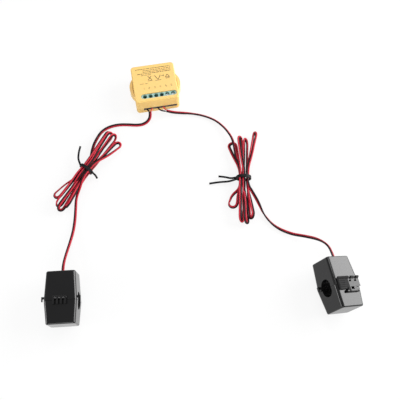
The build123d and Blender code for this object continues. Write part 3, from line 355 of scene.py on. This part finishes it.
RIGHT_HANK = Hank(
    62.0, -100.0, 80.0,
    top=[
        Turn(35.0, -8.9, 2.4, 3.2, 0.4, 22, 0.62), Turn(39.6, -2.2, 5.2, 1.6, -3.2, 20, 0.5),
        Turn(37.4, 2.6, 5.2, 1.6, -3.2, 20, 0.5), Turn(43.8, 10.6, 5.2, 1.2, 3.3, 20, 0.45),
    ],
    bottom=[
        Turn(-26.4, -9.4, 2.4, 3.7, 0.4, 15, 0.7), Turn(-40.0, -2.6, 5.2, 1.3, -3.3, 20, 0.5),
        Turn(-41.4, 1.6, 5.2, 1.3, -3.3, 20, 0.5), Turn(-37.0, 5.8, 5.2, 1.3, 3.3, 20, 0.5),
    ],
    first=[(22.0, -6.6, 6.4)],
    last=[],
)


def along_hank(hank):
    angle = math.radians(hank.heading)
    return Vector((math.cos(angle), math.sin(angle), 0.0))


# Runs through the tie, down and up in turn, with half a circle between each two
def hank_points(hank):
    along = along_hank(hank)
    aside = Vector((along.y, -along.x, 0.0))

    def place(s, q, z):
        return (Vector((hank.x, hank.y, z)) + along * s + aside * q) * MM

    def lead(turned, guide):
        return turned + (guide - turned).normalized() * TURN_LEAD * MM

    points = [place(*p) for p in hank.first]
    for run, (q, z) in enumerate(WAIST):
        way = -1 if run % 2 == 0 else 1
        points.append(place(-way * WAIST_HALF, q * WAIST_SPREAD, z))
        points.append(place(0.0, q, z))
        points.append(place(way * WAIST_HALF, q * WAIST_SPREAD, z))
        if run == len(WAIST) - 1:
            break
        turn = (hank.bottom if way < 0 else hank.top)[run // 2]
        radius = math.hypot(turn.reach, turn.rise)
        half_circle = []
        for step in range(TURN_STEPS + 1):
            angle = math.pi * step / TURN_STEPS
            half_circle.append(place(
                turn.end + way * radius * (math.sin(angle) - 1.0),
                turn.across - turn.reach * math.cos(angle),
                turn.height - turn.rise * math.cos(angle),
            ))
        next_q, next_z = WAIST[run + 1]
        guide_in = place(
            way * turn.guide,
            q + (turn.across - turn.reach - q) * turn.share,
            z + (turn.height - turn.rise - z) * turn.share,
        )
        guide_out = place(
            way * turn.guide,
            next_q + (turn.across + turn.reach - next_q) * turn.share,
            next_z + (turn.height + turn.rise - next_z) * turn.share,
        )
        points += [guide_in, lead(half_circle[0], guide_in)] + half_circle
        points += [lead(half_circle[-1], guide_out), guide_out]
    return points + [place(*p) for p in hank.last]


def centreline(points):
    curve = bpy.data.curves.new("route", "CURVE")
    curve.dimensions = "3D"
    curve.resolution_u = 10
    spline = curve.splines.new("NURBS")
    spline.points.add(len(points) - 1)
    for point, place in zip(spline.points, points):
        point.co = (*place, 1.0)
    spline.order_u = 3
    spline.use_endpoint_u = True
    carrier = link(curve, "route")
    bpy.context.view_layer.update()
    mesh = bpy.data.meshes.new_from_object(carrier.evaluated_get(bpy.context.evaluated_depsgraph_get()))
    line = [vertex.co.copy() for vertex in mesh.vertices]
    bpy.data.meshes.remove(mesh)
    bpy.data.objects.remove(carrier)
    bpy.data.curves.remove(curve)
    return line


def smooth(share):
    share = min(max(share, 0.0), 1.0)
    return share * share * (3.0 - 2.0 * share)


# Twist of a cord: how far the black wire is turned up, in degrees, by the distance along the cord in
# metres. A negative distance counts back from the clamp, and hank_ends does too. Inside the hank the
# lean and its swing are the low pair below the tie and the high pair above it.
Twist = namedtuple("Twist", "leads hank_starts hank_ends low high")
LEFT_TWIST = Twist(
    leads=[
        (0, 0), (0.014, 35), (0.03, 40), (0.045, 30), (0.065, 50),
        (-0.076, -35), (-0.05, -25), (-0.02, -35), (-0.0001, -25),
    ],
    hank_starts=0.065, hank_ends=0.076, low=(-42.0, 32.0), high=(-22.0, 25.0),
)
RIGHT_TWIST = Twist(
    leads=[
        (0, 0), (0.014, 10), (0.026, 42), (0.06, 48), (0.08, 42),
        (-0.104, 150), (-0.095, 140), (-0.075, 60), (-0.055, 5), (-0.035, 10), (-0.02, 50), (-0.0001, 40),
    ],
    hank_starts=0.08, hank_ends=0.104, low=(-80.0, 95.0), high=(-25.0, 35.0),
)
LEAD_BLEND, TIE_BLEND = 0.02, 0.016
QUICK_WAVE, SLOW_WAVE, SLOW_SHARE, WAVE_GAIN = 43.0, 17.0, 0.5, 1.5


def lean_at(travelled, total, twist, height):
    keys = [((at if at >= 0 else total + at), angle) for at, angle in twist.leads]
    lead = keys[-1][1]
    for (at, angle), (next_at, next_angle) in zip(keys, keys[1:]):
        if at <= travelled <= next_at:
            lead = angle + (next_angle - angle) * smooth((travelled - at) / (next_at - at))
            break
    wave = math.sin(travelled * QUICK_WAVE) + SLOW_SHARE * math.sin(travelled * SLOW_WAVE)
    above_tie = smooth((height + TIE_BLEND / 2) / TIE_BLEND)
    lean, swing = (low + (high - low) * above_tie for low, high in zip(twist.low, twist.high))
    bundle = lean + swing * min(max(WAVE_GAIN * wave, -1.0), 1.0)
    inside = smooth((travelled - twist.hank_starts) / LEAD_BLEND)
    inside *= smooth((total - twist.hank_ends - travelled) / LEAD_BLEND)
    return lead * (1.0 - inside) + bundle * inside


# Two round insulated wires side by side, rolling slowly along the route
WIRE_RADIUS, WIRE_SIDES = 0.0007, 10


def twin_cord(name, points, hank, twist):
    line = centreline(points)
    total = sum((b - a).length for a, b in zip(line, line[1:]))
    tie = Vector((hank.x, hank.y, 0.0)) * MM
    along = along_hank(hank)
    bm = bmesh.new()
    rings = ([], [])
    travelled = 0.0
    for i, here in enumerate(line):
        ahead = (line[min(i + 1, len(line) - 1)] - line[max(i - 1, 0)]).normalized()
        aside = ahead.cross(Vector((0, 0, 1))).normalized()
        above = aside.cross(ahead)
        if i:
            travelled += (here - line[i - 1]).length
        lean = math.radians(lean_at(travelled, total, twist, (here - tie).dot(along)))
        out = aside * math.cos(lean) + above * math.sin(lean)
        up = ahead.cross(out)
        for strand, sign in ((0, 1.0), (1, -1.0)):
            centre = here + out * (sign * WIRE_RADIUS)
            loop = []
            for k in range(WIRE_SIDES):
                angle = 2 * math.pi * k / WIRE_SIDES
                rim = (out * math.cos(angle) + up * math.sin(angle)) * WIRE_RADIUS
                loop.append(bm.verts.new(centre + rim))
            rings[strand].append(loop)
    for strand in (0, 1):
        for a, b in zip(rings[strand], rings[strand][1:]):
            for k in range(WIRE_SIDES):
                face = bm.faces.new((a[k], a[(k + 1) % WIRE_SIDES], b[(k + 1) % WIRE_SIDES], b[k]))
                face.material_index = strand
                face.smooth = True
        for loop in (rings[strand][0][::-1], rings[strand][-1]):
            bm.faces.new(loop).material_index = strand
    bmesh.ops.recalc_face_normals(bm, faces=bm.faces)
    return mesh_object(bm, name, wire_black, wire_red), line, total


# The cord enters the cable end of the clamp and stops at the winding
ENTRY_U, ENTRY_W = 4.2, -1.1
ENTRY_STATIONS = (26.0, 17.75)
for side, module_route, hank, clamp_route, twist in (
    ("left", LEFT_MODULE, LEFT_HANK, LEFT_CLAMP, LEFT_TWIST),
    ("right", RIGHT_MODULE, RIGHT_HANK, RIGHT_CLAMP, RIGHT_TWIST),
):
    entry = [on_clamp(side, ENTRY_U, station, ENTRY_W) for station in ENTRY_STATIONS]
    points = module_route + hank_points(hank) + clamp_route + entry
    obj, line, length = twin_cord(f"{side}_twin_cord", points, hank, twist)
    parts = (f"{side}_module_lead", f"{side}_hank", f"{side}_clamp_lead")
    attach(obj, "monitor")
    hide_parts(*parts)


# Print on the cover: broken bars, plain pictograms and the terminal numbers, in millimetres
COVER_TOP, PRINT_LIFT = 19.0, 0.015
BAR_LENGTHS, BAR_GAPS = (0.7, 3.2), (0.35, 0.6)
TERMINAL_CENTRE, TERMINAL_PITCH, TERMINALS = 2.0, 5.0, 6
DIGIT_ROW, DIGIT_HALF, STROKE_LENGTH, STROKE_WIDTH = -5.6, 0.45, 1.0, 0.26
# Rows of broken bars: y, start, end, height
PRINT_ROWS = (
    (15.0, -15.4, 15.4, 0.66), (13.2, -9.0, 15.4, 0.55), (11.6, -9.0, 15.4, 0.55),
    (10.0, -14.2, 15.8, 0.72), (8.3, -11.0, -2.0, 0.5),
)
# Single bars: x, y, length, height, turn in degrees
PRINT_BARS = (
    (15.6, 12.6, 0.22, 5.0, 0.0),
    (-3.6, 4.8, 5.2, 0.6, -50.0), (-3.6, 4.8, 5.2, 0.6, 50.0), (-3.6, 1.9, 4.2, 0.55, 0.0),
    (2.2, 4.4, 5.2, 0.6, -62.0), (5.0, 4.4, 5.2, 0.6, 62.0), (3.6, 1.4, 5.4, 0.55, 0.0),
    (11.2, 4.8, 3.6, 0.55, 58.0), (13.2, 4.8, 3.6, 0.55, -58.0), (12.2, 3.4, 3.6, 0.55, 0.0),
    (12.2, 2.2, 3.6, 0.55, 0.0), (8.2, 5.6, 2.6, 0.5, 0.0), (8.8, 5.6, 0.34, 2.0, 0.0),
    (-11.2, -0.6, 3.4, 0.42, 0.0), (-7.4, -0.6, 2.6, 0.42, 0.0),
)
# Strokes of a digit: across and up from its middle, in half widths, and turn in degrees
STROKES = {
    "a": (0, 2, 0.0), "b": (1, 1, 90.0), "c": (1, -1, 90.0), "d": (0, -2, 0.0),
    "e": (-1, -1, 90.0), "f": (-1, 1, 90.0), "g": (0, 0, 0.0),
}
DIGITS = ("bc", "abged", "abgcd", "fgbc", "afgcd", "afgedc")


def print_marks():
    bm = bmesh.new()
    pick = random.Random(7)

    def bar(x, y, width, height, turn=0.0):
        made = bmesh.ops.create_grid(bm, x_segments=1, y_segments=1, size=0.5)["verts"]
        turned = Matrix.Rotation(math.radians(turn), 3, "Z")
        bmesh.ops.scale(bm, vec=(width * MM, height * MM, 1.0), verts=made)
        bmesh.ops.rotate(bm, cent=(0, 0, 0), matrix=turned, verts=made)
        bmesh.ops.translate(bm, vec=(x * MM, y * MM, (COVER_TOP + PRINT_LIFT) * MM), verts=made)

    for y, x, last, height in PRINT_ROWS:
        while x < last:
            width = min(pick.uniform(*BAR_LENGTHS), last - x)
            bar(x + width / 2, y, width, height)
            x += width + pick.uniform(*BAR_GAPS)
    for mark in PRINT_BARS:
        bar(*mark)
    for number, keys in enumerate(DIGITS):
        x = TERMINAL_CENTRE + (number - (TERMINALS - 1) / 2) * TERMINAL_PITCH
        for key in keys:
            across, up, turn = STROKES[key]
            bar(x + across * DIGIT_HALF, DIGIT_ROW + up * DIGIT_HALF, STROKE_LENGTH, STROKE_WIDTH, turn)
    return mesh_object(bm, "cover_print", ink)


label = print_marks()
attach(label, "monitor")

# Painted shadow: a dark sheet just inside the wire slot, round the tails, standing in for the shade inside
# the slot
STRIP_LENGTH, STRIP_HEIGHT = 29.6, 2.7
STRIP_X, STRIP_Y, STRIP_Z = 2.0, -18.85, 6.55


def slot_strip():
    bm = bmesh.new()
    made = bmesh.ops.create_grid(bm, x_segments=1, y_segments=1, size=0.5)["verts"]
    bmesh.ops.rotate(bm, cent=(0, 0, 0), matrix=Matrix.Rotation(math.pi / 2, 3, "X"), verts=made)
    bmesh.ops.scale(bm, vec=(STRIP_LENGTH * MM, 1.0, STRIP_HEIGHT * MM), verts=made)
    bmesh.ops.translate(bm, vec=(STRIP_X * MM, STRIP_Y * MM, STRIP_Z * MM), verts=made)
    return mesh_object(bm, "slot_strip", foam)


strip = slot_strip()
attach(strip, "monitor")

# Painted shadow: a flat dark sheet laid between each side ear and the wall, widest in its middle, standing
# in for the shade in the gap there
EAR_SHADOW_X, EAR_SHADOW_Z = 19.52, 15.02
EAR_SHADOW_CENTRE, EAR_SHADOW_HALF = -0.5, 7.6
EAR_SHADOW_END, EAR_SHADOW_BULGE = 0.15, 0.75


def ear_recess():
    bm = bmesh.new()
    for side in (-1, 1):
        made = bmesh.ops.create_grid(bm, x_segments=1, y_segments=14, size=1.0)["verts"]
        for vert in made:
            along, across = vert.co.y, (vert.co.x + 1.0) / 2
            reach = EAR_SHADOW_END + EAR_SHADOW_BULGE * (1.0 - along * along)
            x = side * (EAR_SHADOW_X + across * reach)
            vert.co = Vector((x, EAR_SHADOW_CENTRE + along * EAR_SHADOW_HALF, EAR_SHADOW_Z)) * MM
    bmesh.ops.recalc_face_normals(bm, faces=bm.faces)
    return mesh_object(bm, "ear_recess", ear_shade)


ear_shadow_sheet = ear_recess()
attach(ear_shadow_sheet, "monitor")


# White floor below. A little of the lit floor stays in the camera's view, so the object's shadow shows
FLOOR_HALF, FLOOR_DROP = 3.0, 0.0002
FLOOR_GREY, FLOOR_ROUGHNESS = (0.85, 0.85, 0.85, 1.0), 0.9
FLOOR_TO_CAMERA = 0.85


def floor_finish():
    mat = bpy.data.materials.new("floor_white")
    mat.use_nodes = True
    tree = mat.node_tree
    shader = tree.nodes["Principled BSDF"]
    put(tree, shader.inputs["Base Color"], FLOOR_GREY)
    put(tree, shader.inputs["Roughness"], FLOOR_ROUGHNESS)
    white = tree.nodes.new("ShaderNodeEmission")
    put(tree, white.inputs["Color"], WHITE)
    put(tree, white.inputs["Strength"], 1.0)
    rays = tree.nodes.new("ShaderNodeLightPath").outputs
    camera_share = math_node(tree, "MULTIPLY", rays["Is Camera Ray"], FLOOR_TO_CAMERA)
    mix = tree.nodes.new("ShaderNodeMixShader")
    put(tree, mix.inputs["Fac"], math_node(tree, "MAXIMUM", camera_share, rays["Is Glossy Ray"]))
    put(tree, mix.inputs[1], shader.outputs[0])
    put(tree, mix.inputs[2], white.outputs[0])
    put(tree, tree.nodes["Material Output"].inputs["Surface"], mix.outputs[0])
    return mat


bm = bmesh.new()
bmesh.ops.create_grid(bm, x_segments=1, y_segments=1, size=FLOOR_HALF)
floor = mesh_object(bm, "floor", floor_finish())
floor.location.z = -FLOOR_DROP

# World: white to the camera, softer as a light
WORLD_LIGHT = 0.38
world = bpy.data.worlds.new("studio")
bpy.context.scene.world = world
world.use_nodes = True
tree = world.node_tree
backdrop = tree.nodes["Background"]
put(tree, backdrop.inputs["Color"], WHITE)
camera_ray = tree.nodes.new("ShaderNodeLightPath").outputs["Is Camera Ray"]
strength = math_node(tree, "MULTIPLY_ADD", camera_ray, 1.0 - WORLD_LIGHT, WORLD_LIGHT)
put(tree, backdrop.inputs["Strength"], strength)

# Soft lights: azimuth and elevation in degrees, distance and size in metres, power in watts
for name, azimuth, elevation, distance, size, power in (
    ("side", 98.0, 20.0, 0.9, 0.85, 15.5),
    ("left", -84.0, 22.0, 0.9, 0.35, 2.2),
    ("rear", 176.0, 60.0, 0.9, 0.42, 2.0),
    ("front", -12.0, 30.0, 1.0, 0.6, 3.6),
):
    data = bpy.data.lights.new(name, "AREA")
    data.shape = "SQUARE"
    data.size = size
    data.energy = power
    aim(link(data, name), azimuth, elevation, distance)
